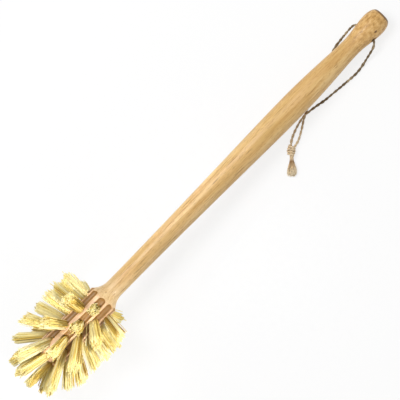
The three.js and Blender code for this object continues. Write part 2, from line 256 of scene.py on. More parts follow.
# %% Twist two plies along a route
TWIST_PITCH = 8.5 * MM
PLY_OFFSET = 0.42 * MM
PLY_RADIUS = 0.56 * MM
PLY_SIDES = 10
PLY_TONES = (0.3, 0.7)
SLUB_LENGTH = 1.8 * MM
UNEVEN_TWIST = (0.9, 9 * MM)
UNEVEN_TWINE = (0.12, 4 * MM)
UNEVEN_PLY = (0.06, 1.5 * MM)
WANDER_WAVES = 3
WANDER_PACES = (0.5, 1.5)
WANDER_HEIGHT = 1.5
ANY_TURN = 6.3
SLANTED = (0.3, 0.5, 0.8)


def frames_along(route):
    """The direction of the route at each point and two square to it, carried along without twisting."""
    tangents = np.gradient(route, axis=0)
    tangents /= np.linalg.norm(tangents, axis=1, keepdims=True)
    normal = np.cross(tangents[0], SLANTED)
    normals = np.empty_like(route)
    for k, tangent in enumerate(tangents):
        normal = normal - tangent * (normal @ tangent)
        normal /= np.linalg.norm(normal)
        normals[k] = normal
    return tangents, normals, np.cross(tangents, normals)


def wander(run, size, length, seed):
    """Numbers that wander smoothly round 0, by about this size and over about this length.

    They are the sum of a few waves, each about twice as fine as the one before and not as high.
    """
    source = np.random.default_rng(seed)
    values = run / length
    total = np.zeros_like(values)
    for k in range(WANDER_WAVES):
        pace = source.uniform(*WANDER_PACES)
        total += np.sin(values * pace * 2**k + source.uniform(0, ANY_TURN)) / (1 + k)
    return size * (total / WANDER_HEIGHT)


def lay_plies(bundle, route, reach, seed, source, offset, radius, slubs):
    """Adds the two plies. slubs: how far along the route each one is, and how much thicker."""
    _, normals, binormals = frames_along(route)
    run = distance_along(route)
    turn = 2 * np.pi * run / TWIST_PITCH + wander(run, *UNEVEN_TWIST, seed)
    thick = 1 + wander(run, *UNEVEN_TWINE, seed + 1)
    for place, size in slubs:
        thick = thick + size * np.exp(-(((run - place) / SLUB_LENGTH) ** 2))
    plies, radii = [], []
    for ply in range(2):
        angle = turn + ply * np.pi
        away = normals * np.cos(angle)[:, None] + binormals * np.sin(angle)[:, None]
        plies.append(route + away * (offset * thick)[:, None])
        radii.append(radius * thick * (1 + wander(run, *UNEVEN_PLY, seed + 2 + ply)))
    reaches = np.linspace(*reach, len(route))
    bundle.add(plies, np.array(radii), PLY_SIDES, source.uniform(*PLY_TONES, 2), reaches)


print("turns of twist in the right strand:", round(distance_along(right_route)[-1] / TWIST_PITCH, 1))

# %% [markdown]
# ## Hairs of the twine
#
# Short hairs stand off the plies and make the twine look fuzzy against the table. A hair system would do for
# a picture, but it isn't a mesh, so the hairs are threads like the plies: they start on the twine at random
# places, bend away along it one way or the other, and thin out to a point.

# %% Lay the two strands
HAIRS_PER_MM = 3.2
HAIR_RADII = 0.035 * MM * np.array([1, 0.9, 0.7, 0.35])
HAIR_LENGTHS = (0.5, 1.5)
HAIR_LIFTS = (0.15, 0.75)
HAIR_TONES = (0.4, 1)
HAIR_LOWEST = 0.06 * MM
HAIR_START = 0.6
HAIR_BEND = 0.3
HAIR_SIDES = 3
BARE_ENDS = 3
TWINE_SEED = 11
HOLE_TO_KNOT = (0, 0.9)


def add_hairs(bundle, route, reach, source, offset, radius):
    """Adds hairs at random places of the route, apart from the few points at its bare ends."""
    tangents, normals, binormals = frames_along(route)
    share = np.linspace(0, 1, len(HAIR_RADII))[:, None]
    hairs, tones, reaches = [], [], []
    for _ in range(int(distance_along(route)[-1] / MM * HAIRS_PER_MM)):
        k = source.integers(BARE_ENDS, len(route) - BARE_ENDS)
        angle = source.uniform(0, 2 * np.pi)
        away = normals[k] * math.cos(angle) + binormals[k] * math.sin(angle)
        start = route[k] + away * (offset + HAIR_START * radius)
        along = tangents[k] * source.choice([-1, 1])
        length = source.uniform(*HAIR_LENGTHS) * MM
        lift = source.uniform(*HAIR_LIFTS)
        bend = 1 + HAIR_BEND - HAIR_BEND * share
        hair = start + length * (along * share + away * lift * share * bend)
        hair[:, 2] = np.maximum(hair[:, 2], HAIR_LOWEST)
        hairs.append(hair)
        tones.append(source.uniform(*HAIR_TONES))
        reaches.append(reach[0] + (reach[1] - reach[0]) * k / len(route))
    radii = np.broadcast_to(HAIR_RADII, (len(hairs), len(HAIR_RADII)))
    bundle.add(hairs, radii, HAIR_SIDES, np.array(tones), np.array(reaches)[:, None])


def lay_twine(bundle, route, reach, seed, offset=PLY_OFFSET, radius=PLY_RADIUS, slubs=()):
    """Adds two plies and their hairs. reach: from 0 at the hole to 1 at the knot, for the colour."""
    source = np.random.default_rng(seed)
    lay_plies(bundle, route, reach, seed, source, offset, radius, slubs)
    add_hairs(bundle, route, reach, source, offset, radius)


twine_right = Bundle()
lay_twine(twine_right, right_route, HOLE_TO_KNOT, TWINE_SEED, slubs=[(30 * MM, 0.28), (71 * MM, 0.16)])
cord_right = twine_right.build("twine_right")
twine_left = Bundle()
lay_twine(twine_left, left_route, HOLE_TO_KNOT, TWINE_SEED + 10, slubs=[(44 * MM, 0.2)])
cord_left = twine_left.build("twine_left")

# %% [markdown]
# ## Where the knot lies
#
# The knot has its own directions on the table, because the end of the loop has swung away from the handle.
# Every point of the knot and both starts of the tails are written along these directions, in millimetres.

# %% Directions of the knot
KNOT_UP = 3.1
KNOT_HEADING = math.radians(225)
UPRIGHT = np.array([0, 0, 1])


def on_table(heading):
    """The directions ahead and aside on the table, for a heading counted from the X axis."""
    ahead = np.array([math.cos(heading), math.sin(heading), 0])
    aside = np.array([-math.sin(heading), math.cos(heading), 0])
    return ahead, aside


knot_middle = from_hole([(-103.3, -19.8, KNOT_UP)])[0]
knot_ahead, knot_aside = on_table(KNOT_HEADING)


def in_knot(along, sideways, up):
    """A point measured in mm from the knot's middle, along the loop's line, sideways and up."""
    return knot_middle + MM * (along * knot_ahead + sideways * knot_aside + up * UPRIGHT)


def tail_start(side):
    return in_knot(5, 0.5 * side, -0.8)


print("knot's middle in mm:", (knot_middle / MM).round(1))

# %% [markdown]
# ## Knot
#
# Both strands are tied together in one overhand knot, drawn tight. Seen from outside, such a knot is a small
# barrel: the strands go in at the top and straight down the middle, turn out, wind up round themselves one
# and a half times, and come down the middle again. Each strand is therefore one route through a few points
# and a helix. The two lie side by side in every turn, and they leave where the tails start.

# %% Tie the overhand knot
KNOT_TURNS = 1.5
TURN_PITCH = 3.9
TURN_WIDTH = 2.7
TURN_HEIGHT = 2.1
POINTS_IN_TURNS = 16
BESIDE = 0.9
BARREL_TAPER = 0.25
KNOT_STEP = 0.35 * MM
KNOT_LOWEST = 0.95 * MM
KNOT_PLY_OFFSET = 0.4 * MM
KNOT_PLY_RADIUS = 0.52 * MM


def knot_route(start, way_in, side):
    """One strand's way through the knot. side: -1 or 1, which of the two strands it is."""
    first_turn = KNOT_TURNS * TURN_PITCH / 2
    points = [start, *[in_knot(*point) for point in way_in]]
    points.append(in_knot(first_turn + 0.7 + BESIDE * side, 1.2, 0.2))
    for angle in np.linspace(0, KNOT_TURNS * 2 * np.pi, POINTS_IN_TURNS):
        along = first_turn - TURN_PITCH * angle / (2 * np.pi) + BESIDE * side
        width = TURN_WIDTH * (1 - BARREL_TAPER * (along / first_turn)**2)
        points.append(in_knot(along, width * math.cos(angle), TURN_HEIGHT * math.sin(angle)))
    points.append(in_knot(-first_turn - 0.6 + BESIDE * side, -1.2, -0.4))
    points += [in_knot(-1.6, 0.4 * side - 0.3, -0.8), in_knot(0.6, 0.4 * side, -0.8)]
    points += [in_knot(2.8, 0.55 * side, -0.8), tail_start(side)]
    route = smooth_route(np.vstack(points), KNOT_STEP)
    route[:, 2] = np.maximum(route[:, 2], KNOT_LOWEST)
    return route


knot_bundle = Bundle()
right_way_in = [(-2.6, -0.5, 0.5), (0, -0.45, 0.5), (2, -0.2, 0.4)]
left_way_in = [(-1.8, 1.5, 0.6), (0.4, 0.7, 0.5), (2.4, 0.6, 0.4)]
for k, (route, way_in) in enumerate([(right_route, right_way_in), (left_route, left_way_in)]):
    strand = knot_route(route[-1], way_in, 2 * k - 1)
    lay_twine(knot_bundle, strand, (0.9, 1), TWINE_SEED + 20 + k, KNOT_PLY_OFFSET, KNOT_PLY_RADIUS)
knot = knot_bundle.build("overhand_knot")

# %% [markdown]
# ## Outline of the frayed tails
#
# Below the knot the two ends of the twine run side by side for a little and then come undone into one small
# bell: a narrow neck that swells smoothly to a wide rim. A turned solid would look closed, so each tail is a
# bundle of separate fibres, and the outline only says how far apart they are at each place along the tail.

# %% Outline of the tails
NECK_SPREAD = 0.85 * MM
BELL_SPREAD = 2.9 * MM
NECK_END = 0.15
SWELLING_RUN = 0.75
STATIONS_PER_TAIL_FIBRE = 9

tail_share = np.linspace(0, 1, STATIONS_PER_TAIL_FIBRE)
swell = np.clip((tail_share - NECK_END) / SWELLING_RUN, 0, 1)
swell = swell**2 * (3 - 2 * swell)
tail_spread = NECK_SPREAD + (BELL_SPREAD - NECK_SPREAD) * swell
print("spread along a tail in mm:", (tail_spread / MM).round(2))

# %% [markdown]
# ## Fibres of the tails
#
# The fibres of a tail keep together in a few locks. They leave the knot close together, follow the outline
# and end unevenly, the outer ones sooner, so that the bell's end is round. All of them lie down on the table
# as they go. A hair system could do this too, but it isn't a mesh, so these are swept threads again.

# %% Fray the two tails
FIBRE_SIDES = 4
TAIL_LENGTH = 14.6 * MM
TAIL_LOCKS = 9
FIBRES_PER_TAIL_LOCK = 26
FIRST_TAIL_LOCK = 0.4
TAIL_LOCK_TURN = 2.4
TAIL_LOCK_SHIFT = 0.5
TAIL_LOCK_WIDTH = 0.35
TAIL_LOCK_DEPTH = 0.12
TAIL_LOCK_TONE = 0.7
TAIL_WIDEST = 1.15
TAIL_ROUNDING = 0.1
TAIL_TRIM = (0.88, 1.03)
TAIL_WAVE = 0.3 * MM
TAIL_WAVES = (3, 8)
TAIL_WAVE_STARTS = (0, 6)
TAIL_FLATNESS = 0.75
TAIL_SAG = 0.4 * MM
TAIL_LOWEST = 0.12 * MM
TAIL_FIBRE_RADII = np.linspace(0.13, 0.07, STATIONS_PER_TAIL_FIBRE) * MM
TAIL_FIBRE_SIZES = (0.7, 1.2)
TAIL_REACH = 0.4
TAIL_SPLAY = math.radians(3)


def fray(name, start, heading, seed):
    """One tail, as fibres in locks that spread from the middle of the twine to its rim."""
    source = np.random.default_rng(seed)
    ahead, aside = on_table(heading)
    fibres, tones = [], []
    for lock in range(TAIL_LOCKS):
        lock_angle = lock * TAIL_LOCK_TURN + source.uniform(0, TAIL_LOCK_SHIFT)
        lock_rim = math.sqrt((lock + FIRST_TAIL_LOCK) / TAIL_LOCKS)
        lock_tone = source.uniform(0, 1)
        for _ in range(FIBRES_PER_TAIL_LOCK):
            angle = lock_angle + source.normal(0, TAIL_LOCK_WIDTH)
            rim = min(TAIL_WIDEST, abs(lock_rim + source.normal(0, TAIL_LOCK_DEPTH)))
            length = TAIL_LENGTH * (1 - TAIL_ROUNDING * rim**2) * source.uniform(*TAIL_TRIM)
            spread = tail_spread * rim
            waves = tail_share * source.uniform(*TAIL_WAVES) + source.uniform(*TAIL_WAVE_STARTS)
            wave = TAIL_WAVE * np.sin(waves) * tail_share
            fibre = start + np.outer(tail_share * length, ahead)
            fibre += np.outer(spread * math.cos(angle) + wave, aside)
            fibre += np.outer(TAIL_FLATNESS * spread * math.sin(angle) - TAIL_SAG * tail_share, UPRIGHT)
            fibre[:, 2] = np.maximum(fibre[:, 2], TAIL_LOWEST)
            fibres.append(fibre)
            tones.append(TAIL_LOCK_TONE * lock_tone + (1 - TAIL_LOCK_TONE) * source.uniform(0, 1))
    bundle = Bundle()
    radii = TAIL_FIBRE_RADII * source.uniform(*TAIL_FIBRE_SIZES, (len(fibres), 1))
    bundle.add(fibres, radii, FIBRE_SIDES, np.array(tones), 1 + TAIL_REACH * tail_share[None])
    return bundle.build(name)


tail_outer = fray("frayed_tail_outer", tail_start(1), KNOT_HEADING + TAIL_SPLAY, TWINE_SEED + 30)
tail_inner = fray("frayed_tail_inner", tail_start(-1), KNOT_HEADING - TAIL_SPLAY, TWINE_SEED + 31)

# %% [markdown]
# ## The loop swings as one body
#
# All five pieces of the loop ride on the body that turns about the cord hole. The lengths run from the
# side of the knob, where a strand leaves the hole, to the knot.

loop_pieces = {
    cord_right: "cord_right", cord_left: "cord_left", knot: "cord_knot",
    tail_outer: "cord_tail_outer", tail_inner: "cord_tail_inner",
}
for piece, node in loop_pieces.items():
    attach(piece, "hanging_loop")
    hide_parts(node)
print("loop pieces:", [piece.name for piece in loop_pieces])

# %% [markdown]
# ## The turned outline
#
# The handle is one piece of wood turned on a lathe, so one outline says everything: a rounded tip, the
# straight core, the collar that flares into a thin shaft, the swelling grip, a neck, the knob and the nearly
# flat butt. The straight core has many points too, because flutes and holes are cut into it later. The
# swellings are Bezier curves whose ends leave along the axis, as a gouge leaves them. From here on, the sizes
# of the wood and the tufts are in millimetres, and each mesh is scaled to metres when it is made.

# %% The turned outline
CORE_RADIUS = 12.5
CORE_TIP = -62
CORE_SHOULDER = -54
CORE_STEP = 0.4
TIP_DEPTH = CORE_TIP - CORE_SHOULDER
TIP_POINTS = 18
TIP_FIRST_TURN = 0.06
COLLAR = 2
SHAFT, SHAFT_RADIUS = 14, 7.3
GRIP, GRIP_RADIUS = 204, 9.95
NECK, NECK_RADIUS = 269, 7.4
KNOB, KNOB_RADIUS = 293, 9.7
BUTT, BUTT_RADIUS = 302.4, 5.5


def bezier(a, b, c, d, steps):
    """Points of a Bezier curve from a to d, with b and c as its handles."""
    share = np.linspace(0, 1, steps + 1)[:, None]
    a, b, c, d = (np.array(point, float) for point in (a, b, c, d))
    return a * (1 - share)**3 + 3 * b * share * (1 - share)**2 + 3 * c * share**2 * (1 - share) + d * share**3


def swelling(start, start_radius, end, end_radius, leave, arrive, steps):
    """A curve that leaves and arrives along the axis, with handles as long as these shares of its run."""
    run = end - start
    return bezier((start, start_radius), (start + leave * run, start_radius),
                  (end - arrive * run, end_radius), (end, end_radius), steps)


round_tip = np.linspace(TIP_FIRST_TURN, math.pi / 2, TIP_POINTS)
collar_handles = (COLLAR + 2.4, 9.9), (SHAFT - 5.4, SHAFT_RADIUS)
butt_handles = (KNOB + 5.2, KNOB_RADIUS), (BUTT, 7.6)
outline = np.vstack([
    np.column_stack([CORE_SHOULDER + TIP_DEPTH * np.cos(round_tip), CORE_RADIUS * np.sin(round_tip)]),
    [(station, CORE_RADIUS) for station in np.arange(CORE_SHOULDER + CORE_STEP, COLLAR, CORE_STEP)],
    bezier((COLLAR, CORE_RADIUS), *collar_handles, (SHAFT, SHAFT_RADIUS), 22),
    swelling(SHAFT, SHAFT_RADIUS, GRIP, GRIP_RADIUS, 0.45, 0.2, 60)[1:],
    swelling(GRIP, GRIP_RADIUS, NECK, NECK_RADIUS, 0.5, 0.2, 30)[1:],
    swelling(NECK, NECK_RADIUS, KNOB, KNOB_RADIUS, 0.35, 0.35, 24)[1:],
    bezier((KNOB, KNOB_RADIUS), *butt_handles, (BUTT, BUTT_RADIUS), 16)[1:],
])
print("outline points:", len(outline), "length in mm:", BUTT - CORE_TIP)

# %% [markdown]
# ## Where the tufts stand
#
# Each row of tufts stands in its own flute, and neighbouring rows are staggered by half a pitch, which is why
# the head looks so even. The first ring stands square to the core beside the collar, and each ring further on
# leans more towards the tip, until the last one points nearly straight ahead. Use has bent some tufts: they
# are listed by row and ring, with the degrees by which they are bent towards the tip and sideways. The places
# come before the wood, because each tuft has a hole in it.

# %% Places of the tufts
ROWS = 10
FIRST_ROW_TURN = math.radians(16)
FLUTE_DEPTH = 2.6
FLUTE_FLOOR = CORE_RADIUS - FLUTE_DEPTH
RINGS = 8
FIRST_RING = 6
RING_PITCH = 8
TIP_RING_RADIUS = 7.5
FIRST_LEAN = -5
LEAN_STEP = 5
SLICES = {"top": (8, 9, 10), "right": (1, 2), "bottom": (3, 4, 5), "left": (6, 7)}
BENT_TUFTS = {
    (1, 1): (24, 0), (1, 3): (17, 0), (1, 5): (17, 10), (1, 7): (12, 0), (2, 0): (9, -20), (3, 1): (10, -6),
    (3, 7): (-14, 0), (5, 7): (0, 12), (7, 1): (8, 0), (7, 7): (11, 0), (8, 2): (-6, 0), (8, 4): (-6, 0),
    (8, 6): (14, 0), (9, 5): (12, 0), (10, 0): (4, 0), (10, 4): (-5, 0), (10, 6): (10, -14),
}


def tuft_places(row):
    """Root, outward direction and direction along the row's circle of each tuft in a row, in mm."""
    turn = FIRST_ROW_TURN + row * 2 * math.pi / ROWS
    outward = np.array([0, -math.sin(turn), math.cos(turn)])
    around = np.array([0, -math.cos(turn), -math.sin(turn)])
    places = []
    for ring in range(row % 2, RINGS, 2):
        forward, sideways = BENT_TUFTS.get((row, ring), (0, 0))
        lean = math.radians(FIRST_LEAN + LEAN_STEP * ring + ring**2 + forward)
        in_tip = ring == RINGS - 1
        radius = TIP_RING_RADIUS if in_tip else FLUTE_FLOOR
        bulge = TIP_DEPTH * math.sqrt(1 - (TIP_RING_RADIUS / CORE_RADIUS)**2)
        station = CORE_SHOULDER + bulge if in_tip else -FIRST_RING - RING_PITCH * ring
        direction = math.cos(lean) * outward + np.array([-math.sin(lean), 0, 0])
        direction = direction + math.tan(math.radians(sideways)) * around
        direction /= np.linalg.norm(direction)
        places.append((np.array([station, 0, 0]) + radius * outward, direction, around))
    return places


places_of_slice = {}
for side, rows in SLICES.items():
    places_of_slice[side] = [place for row in rows for place in tuft_places(row)]
print("tufts:", {side: len(places) for side, places in places_of_slice.items()})

# %% [markdown]
# ## Flutes
#
# A round-nosed cutter has run ten times along the core and stopped in the collar, which leaves ten scoops
# there and ten ridges between them. Cutting ten capsules with booleans would leave ragged faces. Seen from
# the axis, though, a capsule's near side is a simple formula, so each point of the turned surface is pulled
# in to the deepest of the cuts that reach it. A soft minimum rounds the ridges a little, as sanding does. The
# flutes aren't quite evenly spaced: four of them sit a few degrees off, which makes the ridge on top wider
# than the others.

# %% Cut the flutes
FLUTE_RADIUS = 3.1
FLUTE_NOSE = 1.0
FLUTE_SHIFTS = {8: -6, 9: -9, 0: -1, 1: 1}
NOT_CUT = 99
SANDING = 0.8
SANDING_LIFT = 0.02
SANDING_REACH = 3
SEGMENTS = 220


def fluted(stations, radii, turns):
    """The wood's radius at each station and turn, after the flutes are cut."""
    centre = CORE_RADIUS - FLUTE_DEPTH + FLUTE_RADIUS
    nose = np.clip(stations - FLUTE_NOSE, 0, None)
    cutter = np.full_like(radii, NOT_CUT)
    for row in range(ROWS):
        shift = math.radians(FLUTE_SHIFTS.get(row, 0))
        off = turns - FIRST_ROW_TURN - row * 2 * math.pi / ROWS - shift
        reach = FLUTE_RADIUS**2 - nose**2 - (centre * np.sin(off))**2
        near_side = centre * np.cos(off) - np.sqrt(np.clip(reach, 0, None))
        cutter = np.where((reach > 0) & (np.cos(off) > 0), np.minimum(cutter, near_side), cutter)
    soft = 0.5 * (radii + cutter - np.sqrt((radii - cutter)**2 + SANDING**2)) + SANDING_LIFT
    return np.minimum(radii, np.where(cutter > radii + SANDING_REACH, radii, soft))


def on_turning(stations, radii, turns):
    """Points of the turned wood, from station, radius and turn about the axis."""
    return np.stack([stations, -radii * np.sin(turns), radii * np.cos(turns)], axis=-1)


turns = np.linspace(0, 2 * math.pi, SEGMENTS, endpoint=False) + 0 * outline[:, :1]
stations = outline[:, :1] + 0 * turns
plain = outline[:, 1:] + 0 * turns
cut = fluted(stations, plain, turns)
print("deepest cut in mm:", round(float((plain - cut).max()), 2))

# %% [markdown]
# ## Tuft holes
#
# Each tuft stands in a drilled hole. The holes are sunk in the same way as the flutes: wherever a point of
# the surface lies close to the line of a tuft, it is pushed in. How deep each point was cut or sunk is kept
# for the material: up to 1 for the flutes, and more than 1 in a hole. The material paints the flutes brown,
# partly the cut wood's own colour and partly painted shade, and the holes nearly black, as painted shade.

# %% Sink the tuft holes
TUFT_HOLE_RADIUS = 2.1
TUFT_HOLE_DEPTH = 2.0
HOLE_EDGE = 0.4

surface = on_turning(stations, cut, turns)
sunk = np.zeros_like(cut)
for root, direction, _ in sum(places_of_slice.values(), []):
    from_root = surface - root
    along = from_root @ direction
    beside = np.linalg.norm(from_root - along[..., None] * direction, axis=2)
    wall = np.clip((TUFT_HOLE_RADIUS + HOLE_EDGE / 2 - beside) / HOLE_EDGE, 0, 1)
    sunk = np.maximum(sunk, np.where(np.abs(along) < TUFT_HOLE_RADIUS, wall, 0))
surface = on_turning(stations, cut - TUFT_HOLE_DEPTH * sunk, turns)
depth = np.clip((plain - cut) / FLUTE_DEPTH, 0, 1) + sunk
print("corners sunk for the tufts:", int(np.count_nonzero(sunk)))

# %% [markdown]
# ## Mesh of the wood
#
# A Screw modifier would spin the outline, but the flutes need each corner at its own radius, so the mesh is
# made from a grid of corners, with one ring for each point of the outline. Neighbours are joined with
# four-sided faces, and a fan of triangles closes each end, so the mesh is closed and can be drilled.

# %% Make the turned wood
BUTT_CROWN = 0.12

corners = np.vstack([surface.reshape(-1, 3), [(CORE_TIP, 0, 0), (BUTT + BUTT_CROWN, 0, 0)]])
grid = np.arange(cut.size).reshape(cut.shape)
here, there = grid[:-1], grid[1:]
walls = np.stack([here, there, np.roll(there, -1, 1), np.roll(here, -1, 1)], axis=2).reshape(-1, 4).tolist()
tip_fan = [(cut.size, a, b) for a, b in zip(grid[0], np.roll(grid[0], -1))]
butt_fan = [(cut.size + 1, b, a) for a, b in zip(grid[-1], np.roll(grid[-1], -1))]
wood_mesh = bpy.data.meshes.new("turned_wood")
wood_mesh.from_pydata((corners * MM).tolist(), [], walls + tip_fan + butt_fan)
cut_depth = wood_mesh.attributes.new("cut", "FLOAT", "POINT")
cut_depth.data.foreach_set("value", np.append(depth, [0, 0]).astype(np.float32))
wood = bpy.data.objects.new("turned_wood", wood_mesh)
bpy.context.scene.collection.objects.link(wood)
print("turned wood has", len(wood_mesh.polygons), "faces")

# %% [markdown]
# ## Cord hole
#
# The hole is drilled across the knob and its two mouths are eased so that they don't chafe the twine. The
# drill is therefore a bar that widens where it leaves the wood, and here a boolean is the right tool: one
# clean cut.

# %% Drill the cord hole
HOLE_RADIUS = 2.2
MOUTH_EASE = 0.7
EASE_START = 7.4
EASE_RUN = 2
DRILL_REACH = 13
DRILL_POINTS = 41
DRILL_SIDES = 40

sideways = np.linspace(-DRILL_REACH, DRILL_REACH, DRILL_POINTS)
ease = np.clip((np.abs(sideways) - EASE_START) / EASE_RUN, 0, 1)
drill_radii = (HOLE_RADIUS + MOUTH_EASE * ease**2) * MM
drill_line = [(CORD_HOLE_STATION, y, 0) for y in sideways * MM]
drill = Bundle()
drill.add([drill_line], drill_radii[None], DRILL_SIDES, np.zeros(1), np.zeros((1, 1)))
drill_bar = drill.build("drill")
boring = wood.modifiers.new("cord hole", "BOOLEAN")
boring.operation = "DIFFERENCE"
boring.solver = "EXACT"
boring.object = drill_bar
bpy.context.view_layer.update()
bored = bpy.data.meshes.new_from_object(wood.evaluated_get(bpy.context.evaluated_depsgraph_get()))
wood.modifiers.clear()
wood.data = bored
bpy.data.objects.remove(drill_bar)
print("drilled wood has", len(bored.polygons), "faces")

# %% [markdown]
# ## The wood on the table
#
# The wood has been made along its own axis. Each corner keeps that place as an attribute, because the grain
# follows the axis. Then the mesh is laid down on the table. It is shaded smooth, as turned wood is, and only
# steep edges, as round the holes, stay sharp.

# %% Lay the wood on the table
SHARP_EDGE = math.radians(50)

bored.name = "turned_wood"
bored.shade_smooth()
bored.set_sharp_from_angle(angle=SHARP_EDGE)
kept_place = bored.attributes.new("own_place", "FLOAT_VECTOR", "POINT")
kept_place.data.foreach_set("vector", [number for vertex in bored.vertices for number in vertex.co])
bored.transform(BRUSH)
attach(wood, "brush")
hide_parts("handle")
print("highest corner of the wood in mm:", round(max(vertex.co.z for vertex in bored.vertices) / MM, 1))

# %% [markdown]
# ## Trimmed length
#
# All the tufts are trimmed together to one round-nosed cylinder, whichever way they lean. A boolean with that
# form would cut them too, but slowly and with ragged ends. So a fibre's length is worked out beforehand, from
# where its line leaves the form: at the cylinder, or at the round nose if the line gets that far.

# %% Trim to a round-nosed cylinder
HEAD_RADIUS = 33.5
HEAD_TIP = -83.5
TINY = 1e-9


def trimmed_length(roots, directions):
    """How far each fibre runs from its root to the round-nosed cylinder that the head is trimmed to."""
    across = roots[:, 1:]
    outward = directions[:, 1:]
    a = np.maximum(np.sum(outward**2, axis=1), TINY)
    b = np.sum(across * outward, axis=1)
    straight = (-b + np.sqrt(b**2 + a * (HEAD_RADIUS**2 - np.sum(across**2, axis=1)))) / a
    nose = HEAD_TIP + HEAD_RADIUS
    from_nose = roots - [nose, 0, 0]
    b = np.sum(from_nose * directions, axis=1)
    inside = b**2 + HEAD_RADIUS**2 - np.sum(from_nose**2, axis=1)
    rounded = -b + np.sqrt(np.maximum(inside, 0))
    beyond = roots[:, 0] + straight * directions[:, 0] < nose
    return np.where(beyond, rounded, straight)


straight_up = trimmed_length(np.array([[-20.0, 0, FLUTE_FLOOR]]), np.array([[0, 0, 1.0]]))
print("a fibre that stands square is", round(float(straight_up[0]), 1), "mm long")

# %% [markdown]
# ## Locks of a tuft
#
# A tuft is a bunch of stiff plant fibres, folded double over a staple and driven into its hole. The fibres
# cling together in locks, so a tuft looks streaky: pale locks with dark gaps. The locks fill the tuft like
# the seeds of a sunflower, each a golden angle further round, which spreads them evenly without a pattern.
# At the end each lock has drifted a little, its fibres have come apart, and a few stand out as strays. The
# tufts that point ahead stay narrower than those that stand square.

# %% Spread the locks of a tuft
LOCKS = 28
FIBRES_PER_LOCK = 9
LOCK_OF_FIBRE = np.repeat(np.arange(LOCKS), FIBRES_PER_LOCK)
FIBRES = len(LOCK_OF_FIBRE)
GOLDEN = math.pi * (3 - math.sqrt(5))
ROOT_SPREAD = 2.2
END_SPREAD = 3.6
TIP_NARROWING = 0.56
LOCK_ROOT = 0.2
LOCK_END = 0.75
LOCK_DRIFT = 0.5
STRAY_SHARE = 0.1
STRAY_SPREADS = (1.15, 1.4)


def spread_locks(source, ahead):
    """Where each fibre stands across the tuft, at its root and end. ahead: 1 if it points to the tip."""
    turn = LOCK_OF_FIBRE * GOLDEN + source.uniform(0, ANY_TURN)
    rim = np.sqrt((LOCK_OF_FIBRE + 0.5) / LOCKS)
    in_lock = source.normal(0, 1, (FIBRES, 2))
    middle = np.column_stack([rim * np.cos(turn), rim * np.sin(turn)])
    drift = np.repeat(source.normal(0, LOCK_DRIFT, (LOCKS, 2)), FIBRES_PER_LOCK, axis=0)
    at_root = middle * ROOT_SPREAD + in_lock * LOCK_ROOT
    narrowing = 1 - (1 - TIP_NARROWING) * max(0, ahead)**2
    at_end = middle * END_SPREAD * narrowing + drift + in_lock * LOCK_END
    stray = source.uniform(0, 1, FIBRES) < STRAY_SHARE
    at_end[stray] *= source.uniform(*STRAY_SPREADS)
    return at_root, at_end


print("fibres in a tuft:", FIBRES)

# %% [markdown]
# ## Fibres of the tufts
#
# Hair particles would give thin strands without a cut end, and they don't export as meshes. So each fibre is
# a swept thread: it starts in the hole, fans out soon, waves a little and ends where the shears met it, a bit
# short or long. Fibres that would go into the table lie against it. A fibre's tone is mostly its lock's.

# %% Grow the fibres
ROOT_RADIUS = 0.2
END_RADIUS = 0.29
ROOT_SUNK = 1.2
TUFT_LEAN = 0.03
FANNING = 0.4
FIBRE_WAVE = 0.16
FIBRE_WAVES = (2.5, 5.5)
FIBRE_SIZES = (0.75, 1.25)
LOCK_TRIM = (-0.9, 1.2)
FIBRE_TRIM = (0, 0.95)
LOCK_TONE = 0.75
STATIONS_PER_FIBRE = 6
FIBRE_SEED = 5


def grow_tuft(bundle, root, direction, around, source):
    """Adds one tuft's fibres, first along the brush's own axes in mm and then on the table."""
    own_lean = source.normal(0, TUFT_LEAN, 2)
    along = np.cross(direction, around)
    direction = direction + own_lean[0] * around + own_lean[1] * along
    direction /= np.linalg.norm(direction)
    at_root, at_end = spread_locks(source, -direction[0])
    basis = np.stack([around, along])
    fan = (at_end - at_root) @ basis
    roots = root - ROOT_SUNK * direction + at_root @ basis
    directions = direction * (HEAD_RADIUS - FLUTE_FLOOR) + fan
    directions /= np.linalg.norm(directions, axis=1, keepdims=True)
    lengths = trimmed_length(roots, directions)
    lock_trim = np.repeat(source.normal(*LOCK_TRIM, LOCKS), FIBRES_PER_LOCK)
    lengths += lock_trim + source.normal(*FIBRE_TRIM, FIBRES)
    share = np.linspace(0, 1, STATIONS_PER_FIBRE)
    lines = roots[:, None] + (lengths[:, None] * share)[:, :, None] * directions[:, None]
    lines += (share**FANNING - share)[:, None] * fan[:, None]
    waves = source.uniform(*FIBRE_WAVES, (FIBRES, 1)) * share + source.uniform(0, ANY_TURN, (FIBRES, 1))
    swing = source.normal(0, FIBRE_WAVE, (FIBRES, 2))
    lines += (np.sin(waves) * share)[:, :, None] * (swing @ basis)[:, None]
    world = lines @ np.array(BRUSH.to_3x3()).T * MM + np.array(BRUSH.translation)
    world[:, :, 2] = np.maximum(world[:, :, 2], END_RADIUS * MM)
    lock_tones = np.repeat(source.uniform(0, 1, LOCKS), FIBRES_PER_LOCK)
    tones = LOCK_TONE * lock_tones + (1 - LOCK_TONE) * source.uniform(0, 1, FIBRES)
    taper = MM * (ROOT_RADIUS + (END_RADIUS - ROOT_RADIUS) * share)
    radii = taper * source.uniform(*FIBRE_SIZES, (FIBRES, 1))
    bundle.add(world, radii, FIBRE_SIDES, tones, share[None])


tuft_pieces = []
for number, (side, places) in enumerate(places_of_slice.items()):
    source = np.random.default_rng(FIBRE_SEED + number)
    bundle = Bundle()
    for root, direction, around in places:
        grow_tuft(bundle, root, direction, around, source)
    tufts = bundle.build(f"fibre_tufts_{side}")
    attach(tufts, "brush")
    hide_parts(f"bristles_{side}")
    tuft_pieces.append(tufts)

